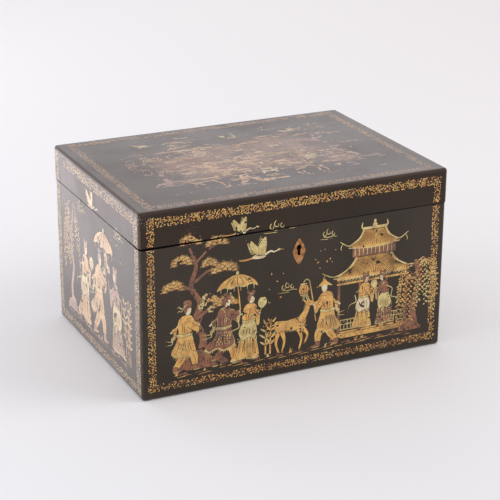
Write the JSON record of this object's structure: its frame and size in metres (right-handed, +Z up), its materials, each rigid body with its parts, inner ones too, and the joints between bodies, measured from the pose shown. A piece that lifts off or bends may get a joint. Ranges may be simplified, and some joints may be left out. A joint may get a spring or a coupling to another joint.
{
  "type": "lacquer tea caddy",
  "caption": "Rectangular gilt black lacquer tea caddy: dovetailed box, hinged lid, box lock with lozenge escutcheon, partitioned inside with pewter canisters.",
  "frame": {"origin": "middle of the underside, at the centre of the bounding box's base", "axes": "+X along the width to the right seen from the front, +Y to the back where the hinges are, +Z up"},
  "size_m": [0.3, 0.216, 0.173],
  "materials": {
    "lacquer": "aged black-brown lacquer with gilt decoration",
    "inner_lacquer": "thin dark red-brown lacquer on wood",
    "brass": "aged, dull",
    "steel": "dull iron",
    "pewter": "grey pewter, satin",
    "bone": "turned bone, polished"
  },
  "bodies": {
    "box": {"front_board": "lacquer", "back_board": "lacquer", "left_board": "lacquer", "right_board": "lacquer", "base_board": "lacquer", "front_lining": "inner_lacquer", "back_lining": "inner_lacquer", "left_lining": "inner_lacquer", "right_lining": "inner_lacquer", "partition": "inner_lacquer", "lock_plate": "brass", "lock_case": "brass", "lock_spring": "steel", "lock_stud": "steel", "lock_drill_pin": "steel", "lock_screw_1": "steel", "lock_screw_2": "steel", "lock_screw_3": "steel", "lock_screw_4": "steel", "escutcheon": "brass", "left_hinge_body_leaf": "brass", "left_hinge_pin": "steel", "left_hinge_body_screw_1": "steel", "left_hinge_body_screw_2": "steel", "right_hinge_body_leaf": "brass", "right_hinge_pin": "steel", "right_hinge_body_screw_1": "steel", "right_hinge_body_screw_2": "steel"},
    "lid": {"lid_top": "lacquer", "lid_front_rail": "lacquer", "lid_back_rail": "lacquer", "lid_left_rail": "lacquer", "lid_right_rail": "lacquer", "link_plate": "brass", "link_staple_1": "brass", "link_staple_2": "brass", "link_screw_1": "steel", "link_screw_2": "steel", "left_hinge_lid_leaf": "brass", "left_hinge_lid_screw_1": "steel", "left_hinge_lid_screw_2": "steel", "right_hinge_lid_leaf": "brass", "right_hinge_lid_screw_1": "steel", "right_hinge_lid_screw_2": "steel"},
    "bolt": {"lock_bolt": "brass"},
    "left_canister": {"left_canister": "pewter"},
    "left_cap": {"left_canister_cap": "pewter", "left_canister_finial": "bone"},
    "left_stopper": {"left_canister_stopper": "pewter"},
    "right_canister": {"right_canister": "pewter"},
    "right_cap": {"right_canister_cap": "pewter", "right_canister_finial": "bone"},
    "right_stopper": {"right_canister_stopper": "pewter"}
  },
  "joints": [
    {"name": "lid_hinge", "type": "hinge", "parent": "box", "child": "lid", "pos_m": [0, 0.1048, 0.1404], "axis": [-1, 0, 0], "range_deg": [0, 95]},
    {"name": "lock_bolt_slide", "type": "slide", "parent": "box", "child": "bolt", "axis": [1, 0, 0], "range_m": [0, 0.005]},
    {"name": "left_canister_lift", "type": "slide", "parent": "box", "child": "left_canister", "axis": [0, 0, 1], "range_m": [0, 0.015]},
    {"name": "left_cap_lift", "type": "slide", "parent": "left_canister", "child": "left_cap", "axis": [0, 0, 1], "range_m": [0, 0.014]},
    {"name": "left_stopper_lift", "type": "slide", "parent": "left_canister", "child": "left_stopper", "axis": [0, 0, 1], "range_m": [0, 0.0035]},
    {"name": "right_canister_lift", "type": "slide", "parent": "box", "child": "right_canister", "axis": [0, 0, 1], "range_m": [0, 0.015]},
    {"name": "right_cap_lift", "type": "slide", "parent": "right_canister", "child": "right_cap", "axis": [0, 0, 1], "range_m": [0, 0.014]},
    {"name": "right_stopper_lift", "type": "slide", "parent": "right_canister", "child": "right_stopper", "axis": [0, 0, 1], "range_m": [0, 0.0035]}
  ]
}
